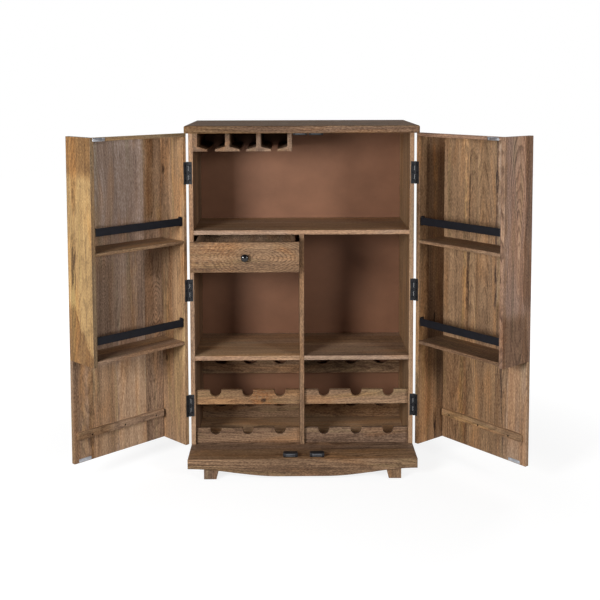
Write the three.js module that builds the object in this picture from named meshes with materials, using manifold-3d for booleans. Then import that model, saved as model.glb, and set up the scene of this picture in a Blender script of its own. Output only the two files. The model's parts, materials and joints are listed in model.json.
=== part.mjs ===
// Two-door wine cabinet with bottle rails, hanging glass rails, a drawer and shelves inside the doors.
// Millimetres, +Z up. The opening faces -Y, +X is to the viewer's right. The doors stand open.
import * as THREE from "three";
import { mergeVertices } from "three/addons/utils/BufferGeometryUtils.js";
import Module from "manifold-3d";

const wasm = await Module();
wasm.setup();

// Carcass
const cabinetWidth = 900;
const cabinetHeight = 1390;
const carcassDepth = 369; // opening plane to the back panel
const boardThickness = 18;
const backThickness = 8;
const edgeEase = 1; // small chamfer on every sawn edge

// Top board
const topThickness = 28;
const topReach = 171; // how far it stands over the closed doors, from the opening plane
const topCornerRadius = 9;
const topEase = 3;

// Base, apron and feet
const baseTop = 86;
const baseReach = 166;
const railDrop = 19; // rails under the base board
const apronThickness = 11;
const apronEndHeight = 37;
const apronBow = 31; // how much lower the apron's middle hangs than its ends
const apronFlatHalf = 90; // half length of the level middle stretch
const footInset = 63; // from the base's end to the foot's outer face
const footTopWidth = 65;
const footSoleWidth = 49;
const glideRadius = 10;
const glideHeight = 4;

// Shelves
const upperShelfTop = 964.5;
const middleShelfTop = 452;

// Bottle rails: the necks lie in the front ones, the bodies in the rear ones
const endBottleInset = 80.5; // wall of the bay to the middle of the nearest bottle
const frontRailSetback = 15;
const rearRailInset = 21; // ahead of the back panel
const railThickness = 18;
const neckNotchWidth = 44.6;
const neckNotchDepth = 28;
const lowerFrontRailHeight = 63;
const upperFrontRailFloor = 248;
const upperFrontRailHeight = 59;
const bodyArcRadius = 40;
const bodyArcDepth = 31;
const lowerRearRailHeight = 77;
const upperRearRailFloor = 283;
const upperRearRailHeight = 71;
const mouthRadius = 4; // rounding at each notch's mouth

// Glass rails
const glassRailHeight = 81;
const glassRailPitch = 124;
const glassFlangeWidth = 98;
const glassTipThickness = 9;
const glassRootThickness = 20;
const lastGlassRailInset = 37.5; // from the cabinet's middle to the last rail's flush side

// Doors: u runs from the hinge side to the free side, v out from the opening plane
const doorAngles = { left: 135.5, right: 128.3 };
const doorWidth = 447.5;
const doorDepth = 162;
const doorFloorGap = 3.5;
const doorHeadGap = 7;
const doorPanelDrop = 12; // the planked panel stops this far below the door's head
const doorGap = 4; // closed door to the carcass
const seatGap = 0.3; // between boards that meet inside a door
const stripHeight = 14;
const stripDepth = 15;
const freeSideFloor = 496;
const doorShelfThickness = 13;
const doorShelfTops = { lower: 517, upper: 926 };
const guardBarLift = 62; // shelf top to the bar's lower edge
const guardBarHeight = 30;
const guardBarThickness = 3;
const guardBarSetback = 2;
const guardTabLength = 24;
const guardBendRadius = 6;
const cleatFloor = 184;
const cleatHeight = 29;
const cleatDepth = 14;
const cleatHingeInset = 7;
const cleatFreeInset = 11.5;
const cleatRound = 9; // rounding of the cleat's upper free corner
const cleatScrewInset = 66;
const cleatScrewPitch = 153;
const cleatHoleRadius = 4.5;
const cleatHoleDepth = 12;
const cleatHoleDrop = 5; // below the cleat's middle

// Hinges
const hingeLength = 89;
const hingeEndInset = 159.5; // door end to the middle of the nearest hinge
const hingePinOffset = 4; // pin axis outside the cabinet's side
const leafWidth = 13.5;
const leafThickness = 1.8;
const barrelRadius = 3.5;
const pinRadius = 1.5;
const pinClearance = 0.4;
const pinHeadHeight = 1.2;
const knuckleCount = 5;
const knuckleGap = 0.4;
const leafHoleRadius = 2.2;
const leafHolePitch = 29;
const leafHoleInset = 7.5; // from the leaf's free edge

// Magnetic catches and the plates on the doors that they hold
const catchWidth = 58;
const catchDepth = 28;
const catchHeight = 17;
const catchCornerRadius = 5;
const catchEase = 1.5;
const poleWidth = 38;
const poleHeight = 2.6;
const poleProud = 0.8;
const poleSpacing = 6;
const strikeThickness = 1.2;
const catchGap = 0.8;
const catchPlaces = {
  base: { left: -48, right: 57 },
  top: { left: -5, right: 58 },
};

// Drawer
const drawerReach = 168; // front face ahead of the opening plane
const drawerRecess = 52; // front face behind the opening plane when the doors are shut
const drawerFrontHeight = 117;
const drawerHeadGap = 3;
const drawerSideGap = 2;
const drawerLength = 300;
const drawerBoxGap = 18.5; // side of the box to the wall of the bay
const drawerSideThickness = 13;
const drawerSideDrop = 2.5; // sides below the front's upper edge
const drawerBottomThickness = 5;
const drawerBottomLift = 8;
const drawerGroove = 5;
const runnerClearance = 0.5;
const runnerSeat = 0.3;
const runnerThickness = 12;
const runnerGuideHeight = 46;
const knobRadius = 15;
const knobProjection = 25;
const knobRoseRadius = 11;
const knobNeckRadius = 6;

// The origin is kept on a whole step, so that every place is a round number
const originStep = 1;

// Fineness of round forms
const cutOverrun = 2;
const roundSteps = 12;
const cornerSteps = 3;
const lathSteps = 24;
const bowSteps = 16;

// Sizes that follow
const halfWidth = cabinetWidth / 2;
const bayWall = halfWidth - boardThickness;
const rearFace = carcassDepth + backThickness;
const carcassTop = cabinetHeight - topThickness;
const baseFloor = baseTop - boardThickness;
const bayInner = boardThickness / 2;
const bayWidth = bayWall - bayInner;
const bayMiddle = (bayWall + bayInner) / 2;
const bottlePitch = bayWidth / 2 - endBottleInset;
const upperShelfFloor = upperShelfTop - boardThickness;
const doorFloor = baseTop + doorFloorGap;
const doorHead = carcassTop - doorHeadGap;
const panelFace = doorDepth - boardThickness;
const pinSetback = doorGap / 2;
const drawerFloor = upperShelfFloor - drawerHeadGap - drawerFrontHeight;

const sides = [
  { name: "left", sign: -1, angle: doorAngles.left },
  { name: "right", sign: 1, angle: doorAngles.right },
];

// Finishes, one new material for each piece
const finishes = {
  wood: { color: 0x9a7350, roughness: 0.62, metalness: 0 },
  back: { color: 0x8a5a42, roughness: 0.55, metalness: 0 },
  blackIron: { color: 0x1c1b1b, roughness: 0.45, metalness: 0.7 },
  blackKnob: { color: 0x0f0f10, roughness: 0.2, metalness: 0.4 },
};

// Manifold helpers
function solidOf(geometry) {
  const bare = geometry.clone();
  bare.deleteAttribute("normal");
  bare.deleteAttribute("uv");
  const merged = mergeVertices(bare);
  return new wasm.Manifold(
    new wasm.Mesh({
      numProp: 3,
      vertProperties: merged.attributes.position.array,
      triVerts: new Uint32Array(merged.index.array),
    }),
  );
}

function geometryOf(solid) {
  const mesh = solid.getMesh();
  const geometry = new THREE.BufferGeometry();
  geometry.setAttribute("position", new THREE.BufferAttribute(mesh.vertProperties, mesh.numProp));
  geometry.setIndex(new THREE.BufferAttribute(mesh.triVerts, 1));
  geometry.computeVertexNormals();
  return geometry;
}

function joined(first, ...others) {
  return geometryOf(others.reduce((body, other) => body.add(solidOf(other)), solidOf(first)));
}

function cut(first, ...tools) {
  return geometryOf(tools.reduce((body, tool) => body.subtract(solidOf(tool)), solidOf(first)));
}

// Outlines
function arcPoints(x, y, radius, from, to, steps) {
  return Array.from({ length: steps + 1 }, (unused, i) => {
    const angle = from + ((to - from) * i) / steps;
    return new THREE.Vector2(x + radius * Math.cos(angle), y + radius * Math.sin(angle));
  });
}

const quarter = Math.PI / 2;

// Rectangle about the middle of its sides; radii run from the lower left corner, counter-clockwise
function roundedRectangle(width, height, radii, steps = cornerSteps) {
  const corners = [
    [-1, -1],
    [1, -1],
    [1, 1],
    [-1, 1],
  ];
  return new THREE.Shape(
    corners.flatMap(([right, up], i) => {
      const radius = radii[i];
      const x = right * (width / 2 - radius);
      const y = up * (height / 2 - radius);
      return arcPoints(x, y, radius, (i + 2) * quarter, (i + 3) * quarter, steps);
    }),
  );
}

// Extrusions: a slab lies in the outline's plane, an upright one stands with its outline facing -Y
function slab(outline, thickness, ease = edgeEase) {
  const geometry = new THREE.ExtrudeGeometry(outline, {
    depth: thickness - 2 * ease,
    bevelEnabled: ease > 0,
    bevelThickness: ease,
    bevelSize: ease,
    bevelOffset: -ease,
    bevelSegments: 1,
  });
  return geometry.translate(0, 0, ease - thickness / 2);
}

function uprightSlab(outline, thickness, ease = edgeEase) {
  return slab(outline, thickness, ease).rotateX(quarter);
}

// Board between two corners, every edge eased
function boardGeometry(from, to, ease = edgeEase) {
  const size = to.map((value, i) => value - from[i]);
  const middle = to.map((value, i) => (value + from[i]) / 2);
  const outline = roundedRectangle(size[0], size[1], [ease, ease, ease, ease], 1);
  return slab(outline, size[2], ease).translate(...middle);
}

// Box between two corners, for cuts
function boxGeometry(from, to) {
  const size = to.map((value, i) => value - from[i]);
  const middle = to.map((value, i) => (value + from[i]) / 2);
  return new THREE.BoxGeometry(...size).translate(...middle);
}

function piece(name, geometry, finish) {
  const mesh = new THREE.Mesh(geometry, new THREE.MeshStandardMaterial(finishes[finish]));
  mesh.name = name;
  return mesh;
}

function board(name, from, to, finish = "wood") {
  return piece(name, boardGeometry(from, to), finish);
}

// Carcass

function topBoard() {
  const depth = topReach + rearFace;
  const front = topCornerRadius;
  const outline = roundedRectangle(cabinetWidth, depth, [front, front, 2 * topEase, 2 * topEase]);
  const geometry = slab(outline, topThickness, topEase);
  geometry.translate(0, depth / 2 - topReach, cabinetHeight - topThickness / 2);
  return piece("top_board", geometry, "wood");
}

// One runner: a ledge under the drawer's side, and a guide beside it that starts behind the drawer front.
// wall is the face that carries it, towards is +1 where the bay lies on the wall's +X side.
function runnerGeometries(wall, towards) {
  const guideStart = drawerRecess + boardThickness + drawerSideGap;
  const ledgeTop = drawerFloor - runnerSeat;
  const ledgeEdge = wall + towards * (drawerBoxGap + drawerSideThickness);
  const guideFace = wall + towards * (drawerBoxGap - runnerClearance);
  const sunk = wall - towards * edgeEase;
  const span = (a, b) => [Math.min(a, b), Math.max(a, b)];
  const [ledgeLow, ledgeHigh] = span(sunk, ledgeEdge);
  const [guideLow, guideHigh] = span(sunk, guideFace);
  return [
    boardGeometry([ledgeLow, 0, ledgeTop - runnerThickness], [ledgeHigh, carcassDepth, ledgeTop]),
    boardGeometry(
      [guideLow, guideStart, ledgeTop - edgeEase],
      [guideHigh, carcassDepth, ledgeTop + runnerGuideHeight],
    ),
  ];
}

function sidePanels() {
  const left = boardGeometry([-halfWidth, 0, baseTop], [-bayWall, carcassDepth, carcassTop]);
  return [
    piece("left_side_panel", joined(left, ...runnerGeometries(-bayWall, 1)), "wood"),
    board("right_side_panel", [bayWall, 0, baseTop], [halfWidth, carcassDepth, carcassTop]),
  ];
}

function divider() {
  const panel = boardGeometry([-bayInner, 0, baseTop], [bayInner, carcassDepth, upperShelfFloor]);
  return piece("divider", joined(panel, ...runnerGeometries(-bayInner, -1)), "wood");
}

function shelves() {
  const floor = middleShelfTop - boardThickness;
  return [
    board("upper_shelf", [-bayWall, 0, upperShelfFloor], [bayWall, carcassDepth, upperShelfTop]),
    board("left_shelf", [-bayWall, 0, floor], [-bayInner, carcassDepth, middleShelfTop]),
    board("right_shelf", [bayInner, 0, floor], [bayWall, carcassDepth, middleShelfTop]),
  ];
}

function backPanel() {
  const from = [-halfWidth, carcassDepth, baseTop];
  const to = [halfWidth, rearFace, carcassTop];
  return board("back_panel", from, to, "back");
}

// Base

const apronRear = apronThickness - baseReach;
const backRailFace = rearFace - boardThickness;

function baseBoard() {
  const railFloor = baseFloor - railDrop;
  const deck = boardGeometry([-halfWidth, apronRear, baseFloor], [halfWidth, rearFace, baseTop]);
  const sunk = baseFloor + edgeEase;
  const rails = sides.map(({ sign }) => {
    const [low, high] = sign < 0 ? [-halfWidth, -bayWall] : [bayWall, halfWidth];
    return boardGeometry([low, apronRear, railFloor], [high, rearFace, sunk]);
  });
  const half = bayWall + edgeEase;
  const back = boardGeometry([-half, backRailFace, railFloor], [half, rearFace, sunk]);
  return piece("base_board", joined(deck, ...rails, back), "wood");
}

// The lower edge hangs in a bow: level in the middle, rising to the ends on half a cosine wave
function bowDrop(x) {
  const share = Math.min(1, (halfWidth - Math.abs(x)) / (halfWidth - apronFlatHalf));
  return (apronBow * (1 - Math.cos(Math.PI * share))) / 2;
}

function apron() {
  const run = halfWidth - apronFlatHalf;
  const lowerEdge = [-1, 1].flatMap((side) =>
    Array.from({ length: bowSteps + 1 }, (unused, i) => {
      const share = side < 0 ? i / bowSteps : 1 - i / bowSteps;
      const x = side * (halfWidth - run * share);
      return new THREE.Vector2(x, baseTop - apronEndHeight - bowDrop(x));
    }),
  );
  const upperEdge = [new THREE.Vector2(halfWidth, baseTop), new THREE.Vector2(-halfWidth, baseTop)];
  const outline = new THREE.Shape([...lowerEdge, ...upperEdge]);
  const geometry = uprightSlab(outline, apronThickness, topEase / 2);
  return piece("front_apron", geometry.translate(0, apronRear - apronThickness / 2, 0), "wood");
}

// Foot with its two inner faces sloping in towards the sole, and a round glide under it
function footGeometry() {
  const height = baseFloor - glideHeight;
  const block = new THREE.BoxGeometry(footTopWidth, footTopWidth, height);
  const places = block.attributes.position;
  const taper = footTopWidth - footSoleWidth;
  for (let i = 0; i < places.count; i += 1) {
    const isSole = places.getZ(i) < 0;
    if (isSole && places.getX(i) > 0) places.setX(i, places.getX(i) - taper);
    if (isSole && places.getY(i) > 0) places.setY(i, places.getY(i) - taper);
  }
  block.translate(footTopWidth / 2, footTopWidth / 2, glideHeight + height / 2);
  const glide = new THREE.CylinderGeometry(glideRadius, glideRadius, glideHeight + cutOverrun, lathSteps);
  glide.rotateX(quarter);
  glide.translate(footSoleWidth / 2, footSoleWidth / 2, (glideHeight + cutOverrun) / 2);
  return joined(block, glide);
}

function feet() {
  const rows = [
    { name: "front", y: apronRear, forward: 1 },
    { name: "rear", y: backRailFace, forward: -1 },
  ];
  return rows.flatMap(({ name, y, forward }) =>
    sides.map((side) => {
      const foot = piece(`${name}_${side.name}_foot`, footGeometry(), "wood");
      foot.position.set(side.sign * (halfWidth - footInset), y, 0);
      foot.scale.set(-side.sign, forward, 1);
      return foot;
    }),
  );
}

// Bottle rails

const bottleShares = [-1, 0, 1];

// Upper edge of a rail, from left to right, with a rounded mouth on both sides of each notch
function notchedEdge(top, halfNotch, notchPoints) {
  const mouth = halfNotch + mouthRadius;
  const lip = top - mouthRadius;
  return bottleShares.flatMap((share) => {
    const middle = share * bottlePitch;
    return [
      ...arcPoints(middle - mouth, lip, mouthRadius, quarter, 0, cornerSteps),
      ...notchPoints(middle),
      ...arcPoints(middle + mouth, lip, mouthRadius, 2 * quarter, quarter, cornerSteps),
    ];
  });
}

function bottleRailGeometry(height, halfNotch, notchPoints) {
  const outline = new THREE.Shape([
    new THREE.Vector2(-bayWidth / 2, 0),
    new THREE.Vector2(-bayWidth / 2, height),
    ...notchedEdge(height, halfNotch, notchPoints),
    new THREE.Vector2(bayWidth / 2, height),
    new THREE.Vector2(bayWidth / 2, 0),
  ]);
  return uprightSlab(outline, railThickness);
}

// Front rail: U notches for the necks
function frontRailGeometry(height) {
  const radius = neckNotchWidth / 2;
  const centre = height - neckNotchDepth + radius;
  return bottleRailGeometry(height, radius, (middle) =>
    arcPoints(middle, centre, radius, 2 * quarter, 4 * quarter, roundSteps),
  );
}

// Rear rail: wide shallow arcs for the bottles' bodies
function rearRailGeometry(height) {
  const centre = height - bodyArcDepth + bodyArcRadius;
  const lipHeight = height - mouthRadius - centre;
  const halfMouth = Math.sqrt(bodyArcRadius ** 2 - lipHeight ** 2);
  const swing = Math.atan2(halfMouth, -lipHeight);
  return bottleRailGeometry(height, halfMouth, (middle) =>
    arcPoints(middle, centre, bodyArcRadius, -quarter - swing, swing - quarter, roundSteps).slice(1, -1),
  );
}

function bottleRails() {
  const frontMiddle = frontRailSetback + railThickness / 2;
  const rearMiddle = carcassDepth - rearRailInset - railThickness / 2;
  const rows = [
    { row: "front", y: frontMiddle, draw: frontRailGeometry },
    { row: "rear", y: rearMiddle, draw: rearRailGeometry },
  ];
  const levels = {
    lower_front: { floor: baseTop, height: lowerFrontRailHeight },
    upper_front: { floor: upperFrontRailFloor, height: upperFrontRailHeight },
    lower_rear: { floor: baseTop, height: lowerRearRailHeight },
    upper_rear: { floor: upperRearRailFloor, height: upperRearRailHeight },
  };
  return rows.flatMap(({ row, y, draw }) =>
    ["lower", "upper"].flatMap((level) =>
      sides.map((side) => {
        const { floor, height } = levels[`${level}_${row}`];
        const rail = piece(`${side.name}_${level}_${row}_bottle_rail`, draw(height), "wood");
        rail.position.set(side.sign * bayMiddle, y, floor);
        return rail;
      }),
    ),
  );
}

// Glass rails: a web under the top board and a flange that thickens towards it.
// A rail at a side has its flange on one side only, flush with the web on the other.
function glassRailOutline(hasLeft, hasRight) {
  const web = boardThickness / 2;
  const tip = glassFlangeWidth / 2;
  const hollow = (glassTipThickness + glassRootThickness) / 2 - edgeEase;
  const half = (present) =>
    present
      ? [
          new THREE.Vector2(web, glassRailHeight),
          new THREE.Vector2(web, glassRootThickness),
          new THREE.Vector2((web + tip) / 2, hollow),
          new THREE.Vector2(tip, glassTipThickness),
          new THREE.Vector2(tip, 0),
        ]
      : [new THREE.Vector2(web, glassRailHeight), new THREE.Vector2(web, 0)];
  const right = half(hasRight);
  const left = half(hasLeft).map((point) => new THREE.Vector2(-point.x, point.y));
  return new THREE.Shape([...right, ...left.reverse()]);
}

function glassRails() {
  const firstMiddle = boardThickness / 2 - bayWall;
  const lastMiddle = -lastGlassRailInset - boardThickness / 2;
  const flanges = [
    [false, true],
    [true, true],
    [true, true],
    [true, false],
  ];
  return flanges.map(([hasLeft, hasRight], i) => {
    const geometry = uprightSlab(glassRailOutline(hasLeft, hasRight), carcassDepth);
    const rail = piece(`glass_rail_${i + 1}`, geometry, "wood");
    const fromLast = flanges.length - 1 - i;
    const middle = hasLeft ? lastMiddle - fromLast * glassRailPitch : firstMiddle;
    rail.position.set(middle, carcassDepth / 2, carcassTop - glassRailHeight);
    return rail;
  });
}

// Magnetic catches: a moulded body with two pole strips a little proud of its front

function catchGeometry() {
  const corner = catchCornerRadius;
  const outline = roundedRectangle(catchWidth, catchDepth, [corner, corner, corner, corner]);
  const body = slab(outline, catchHeight, catchEase).translate(0, catchDepth / 2, 0);
  const poles = [-1, 1].map((up) => {
    const z = (up * poleSpacing) / 2;
    return boxGeometry(
      [-poleWidth / 2, -poleProud, z - poleHeight / 2],
      [poleWidth / 2, catchDepth / 2, z + poleHeight / 2],
    );
  });
  return joined(body, ...poles);
}

function catches() {
  const faceGap = strikeThickness + catchGap + poleProud;
  const rows = [
    { name: "base", y: faceGap - doorGap - panelFace, z: baseTop + catchHeight / 2 },
    { name: "top", y: faceGap - doorGap, z: carcassTop - catchHeight / 2 },
  ];
  return rows.flatMap(({ name, y, z }) =>
    sides.map((side) => {
      const holder = piece(`${side.name}_${name}_catch`, catchGeometry(), "blackIron");
      holder.position.set(catchPlaces[name][side.name], y, z);
      return holder;
    }),
  );
}

// Hinges, drawn about the pin's axis with the leaf running to +X.
// The carcass leaf lies on the +Y side of the closed gap, the door leaf on its -Y side.

const knuckleLength = hingeLength / knuckleCount;
const leafNear = pinSetback - leafThickness;
const leafReach = hingePinOffset + leafWidth;

function cylinderAlongZ(radius, low, high, steps = roundSteps) {
  const geometry = new THREE.CylinderGeometry(radius, radius, high - low, steps);
  return geometry.rotateX(quarter).translate(0, 0, (low + high) / 2);
}

function leafGeometry(carriesPin) {
  const end = hingeLength / 2;
  const across = carriesPin ? [leafNear, pinSetback] : [-pinSetback, -leafNear];
  const plateStart = barrelRadius + knuckleGap;
  const plate = boxGeometry([plateStart, across[0], -end], [leafReach, across[1], end]);
  const knuckles = Array.from({ length: knuckleCount }, (unused, i) => i)
    .filter((i) => (i % 2 === 0) === carriesPin)
    .flatMap((i) => {
      const low = knuckleGap / 2 - end + i * knuckleLength;
      const high = low + knuckleLength - knuckleGap;
      return [
        cylinderAlongZ(barrelRadius, low, high),
        boxGeometry([0, across[0], low], [plateStart + knuckleGap, across[1], high]),
      ];
    });
  const bare = joined(plate, ...knuckles);
  const holes = [-1, 0, 1].map((share) => {
    const hole = new THREE.CylinderGeometry(leafHoleRadius, leafHoleRadius, hingeLength, roundSteps);
    return hole.translate(leafReach - leafHoleInset, 0, share * leafHolePitch);
  });
  const drilled = cut(bare, ...holes);
  const pinEnd = end + pinHeadHeight;
  return carriesPin
    ? joined(drilled, cylinderAlongZ(pinRadius, -pinEnd, pinEnd))
    : cut(drilled, cylinderAlongZ(pinRadius + pinClearance, -pinEnd, pinEnd));
}

const hingeHeights = {
  lower: doorFloor + hingeEndInset,
  middle: (doorFloor + doorHead) / 2,
  upper: doorHead - hingeEndInset,
};

function hingeLeaves(sideName, part, carriesPin) {
  return Object.entries(hingeHeights).map(([name, height]) => {
    const leaf = piece(`${sideName}_${name}_hinge_${part}_leaf`, leafGeometry(carriesPin), "blackIron");
    leaf.position.z = height;
    return leaf;
  });
}

// A group whose origin is the pin's axis, +X running from the hinge to the cabinet's middle
function hingeGroup(side, members) {
  const group = new THREE.Group();
  group.position.set(side.sign * (halfWidth + hingePinOffset), -pinSetback, 0);
  group.scale.x = -side.sign;
  group.add(...members);
  return group;
}

// Doors

// Corner of the door's own frame, in the hinge group's axes
function doorPoint(u, v, z) {
  return [u + hingePinOffset, -v - pinSetback, z];
}

function doorBoardGeometry([uLow, vLow, zLow], [uHigh, vHigh, zHigh]) {
  const [x0, y1, z0] = doorPoint(uLow, vLow, zLow);
  const [x1, y0, z1] = doorPoint(uHigh, vHigh, zHigh);
  return boardGeometry([x0, y0, z0], [x1, y1, z1]);
}

const shelfHingeEnd = boardThickness + seatGap;
const freeSideFace = doorWidth - boardThickness;
const shelfFreeEnd = freeSideFace - seatGap;

function cleatGeometry() {
  const from = shelfHingeEnd + cleatHingeInset;
  const to = doorWidth - cleatFreeInset;
  const corner = 2 * edgeEase;
  const outline = roundedRectangle(to - from, cleatHeight, [corner, corner, cleatRound, corner]);
  const middle = [(from + to) / 2, panelFace - (cleatDepth - edgeEase) / 2, cleatFloor + cleatHeight / 2];
  return uprightSlab(outline, cleatDepth + edgeEase).translate(...doorPoint(...middle));
}

function cleatHoles() {
  return [0, 1, 2].map((count) => {
    const u = cleatScrewInset + count * cleatScrewPitch;
    const depth = cleatHoleDepth + cutOverrun;
    const v = panelFace - cleatDepth - cutOverrun + depth / 2;
    const place = doorPoint(u, v, cleatFloor + cleatHeight / 2 - cleatHoleDrop);
    const hole = new THREE.CylinderGeometry(cleatHoleRadius, cleatHoleRadius, depth, roundSteps);
    return hole.translate(...place);
  });
}

// The planked panel is cut back where the free side panel covers its end
function doorPanel(name) {
  const head = doorHead - doorPanelDrop;
  const panel = doorBoardGeometry([0, panelFace, doorFloor], [doorWidth, doorDepth, head]);
  const [x0, y0, z0] = doorPoint(shelfFreeEnd, doorDepth + cutOverrun, freeSideFloor - seatGap);
  const [x1, y1, z1] = doorPoint(doorWidth + cutOverrun, panelFace - cutOverrun, doorHead);
  const rebate = boxGeometry([x0, y0, z0], [x1, y1, z1]);
  const geometry = cut(joined(panel, cleatGeometry()), rebate, ...cleatHoles());
  return piece(`${name}_door_front_panel`, geometry, "wood");
}

// The free side panel carries the strip that runs along the door's head
function doorFreeSide(name) {
  const panel = doorBoardGeometry([freeSideFace, 0, freeSideFloor], [doorWidth, doorDepth, doorHead]);
  const stripFrom = [0, 0, doorHead - stripHeight];
  const stripTo = [freeSideFace + edgeEase, stripDepth, doorHead];
  const strip = doorBoardGeometry(stripFrom, stripTo);
  return piece(`${name}_door_free_side`, joined(panel, strip), "wood");
}

function doorHingeSide(name) {
  const top = doorHead - stripHeight - seatGap;
  const geometry = doorBoardGeometry([0, 0, doorFloor], [boardThickness, panelFace - seatGap, top]);
  return piece(`${name}_door_hinge_side`, geometry, "wood");
}

// Flat guard bar whose ends are bent back along the side panels
function guardBarGeometry() {
  const start = shelfHingeEnd;
  const end = shelfFreeEnd;
  const inner = guardBendRadius - guardBarThickness;
  const face = guardBarSetback;
  const bend = face + guardBendRadius;
  const tabEnd = face + guardTabLength;
  const outside = [
    ...arcPoints(start + guardBendRadius, bend, guardBendRadius, 2 * quarter, 3 * quarter, cornerSteps),
    ...arcPoints(end - guardBendRadius, bend, guardBendRadius, 3 * quarter, 4 * quarter, cornerSteps),
  ];
  const inside = [
    ...arcPoints(end - guardBendRadius, bend, inner, 4 * quarter, 3 * quarter, cornerSteps),
    ...arcPoints(start + guardBendRadius, bend, inner, 3 * quarter, 2 * quarter, cornerSteps),
  ];
  const outline = new THREE.Shape([
    new THREE.Vector2(start, tabEnd),
    ...outside,
    new THREE.Vector2(end, tabEnd),
    new THREE.Vector2(end - guardBarThickness, tabEnd),
    ...inside,
    new THREE.Vector2(start + guardBarThickness, tabEnd),
  ]);
  const geometry = slab(outline, guardBarHeight, 0);
  return geometry.rotateX(2 * quarter).translate(hingePinOffset, -pinSetback, 0);
}

function doorShelvesAndBars(name) {
  return Object.entries(doorShelfTops).flatMap(([level, top]) => {
    const shelf = doorBoardGeometry(
      [shelfHingeEnd, 0, top - doorShelfThickness],
      [shelfFreeEnd, panelFace - seatGap, top],
    );
    const bar = piece(`${name}_door_${level}_guard_bar`, guardBarGeometry(), "blackIron");
    bar.position.z = top + guardBarLift + guardBarHeight / 2;
    return [piece(`${name}_door_${level}_shelf`, shelf, "wood"), bar];
  });
}

function door(side) {
  const group = hingeGroup(side, [
    doorPanel(side.name),
    doorHingeSide(side.name),
    doorFreeSide(side.name),
    ...doorShelvesAndBars(side.name),
    ...hingeLeaves(side.name, "door", false),
  ]);
  group.rotation.z = side.sign * THREE.MathUtils.degToRad(side.angle);
  return group;
}

// Drawer

const drawerMiddle = -bayMiddle;
const drawerFrontHalf = bayWidth / 2 - drawerSideGap;
const drawerBoxHalf = bayWidth / 2 - drawerBoxGap;
const drawerFrontRear = boardThickness - drawerReach;
const drawerRear = drawerLength - drawerReach;

function drawerFront() {
  return board(
    "drawer_front",
    [drawerMiddle - drawerFrontHalf, -drawerReach, drawerFloor],
    [drawerMiddle + drawerFrontHalf, drawerFrontRear, drawerFloor + drawerFrontHeight],
  );
}

// The bottom board sits in grooves in the sides and the back
function drawerBottomCorners() {
  const half = drawerBoxHalf - drawerSideThickness + drawerGroove;
  const rear = drawerRear - drawerSideThickness + drawerGroove;
  const floor = drawerFloor + drawerBottomLift;
  return [
    [drawerMiddle - half, drawerFrontRear, floor],
    [drawerMiddle + half, rear, floor + drawerBottomThickness],
  ];
}

function drawerBox() {
  const top = drawerFloor + drawerFrontHeight - drawerSideDrop;
  const walls = [-1, 1].map((sign) => {
    const outer = drawerMiddle + sign * drawerBoxHalf;
    const inner = outer - sign * drawerSideThickness;
    const [low, high] = [Math.min(outer, inner), Math.max(outer, inner)];
    return boardGeometry([low, drawerFrontRear, drawerFloor], [high, drawerRear, top]);
  });
  const inset = drawerBoxHalf - edgeEase;
  const back = boardGeometry(
    [drawerMiddle - inset, drawerRear - drawerSideThickness, drawerFloor],
    [drawerMiddle + inset, drawerRear, top],
  );
  const groove = boxGeometry(...drawerBottomCorners());
  return piece("drawer_box", cut(joined(walls[0], back, walls[1]), groove), "wood");
}

function drawerBottom() {
  return piece("drawer_bottom", boxGeometry(...drawerBottomCorners()), "wood");
}

// Turned knob: a rose on the drawer front, a neck and a mushroom head
function knob() {
  const roseShares = [
    [0, 0],
    [1, 0],
    [1, 0.08],
    [0.8, 0.16],
  ];
  const neckShares = [0.24, 0.44];
  const headShare = 0.66;
  const headSteps = 6;
  const rose = roseShares.map(([radius, height]) => [radius * knobRoseRadius, height * knobProjection]);
  const neck = neckShares.map((height) => [knobNeckRadius, height * knobProjection]);
  const headMiddle = headShare * knobProjection;
  const head = arcPoints(0, 0, 1, -quarter / 2, quarter, headSteps).map((point) => {
    return [point.x * knobRadius, headMiddle + point.y * (knobProjection - headMiddle)];
  });
  head[head.length - 1][0] = 0;
  const profile = [...rose, ...neck, ...head].map(([radius, height]) => new THREE.Vector2(radius, height));
  const geometry = new THREE.LatheGeometry(profile, lathSteps);
  geometry.rotateX(2 * quarter);
  geometry.translate(drawerMiddle, -drawerReach, drawerFloor + drawerFrontHeight / 2);
  return piece("drawer_knob", geometry, "blackKnob");
}

// Assembly

const cabinet = new THREE.Group();
cabinet.add(
  topBoard(),
  ...sidePanels(),
  backPanel(),
  divider(),
  ...shelves(),
  baseBoard(),
  apron(),
  ...feet(),
  ...bottleRails(),
  ...glassRails(),
  ...catches(),
  ...sides.map((side) => hingeGroup(side, hingeLeaves(side.name, "carcass", true))),
  ...sides.map((side) => door(side)),
  drawerFront(),
  drawerBox(),
  drawerBottom(),
  knob(),
);

// The origin lies on the floor, under the middle of the box that the open cabinet fills
const box = new THREE.Box3().setFromObject(cabinet, true);
const middle = box.getCenter(new THREE.Vector3());
const wholeSteps = (value) => Math.round(value / originStep) * originStep;
cabinet.position.set(-wholeSteps(middle.x), -wholeSteps(middle.y), 0);

export default cabinet;
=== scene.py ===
import json
import math
import random

import bmesh
import bpy
from mathutils import Matrix, Vector


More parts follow.
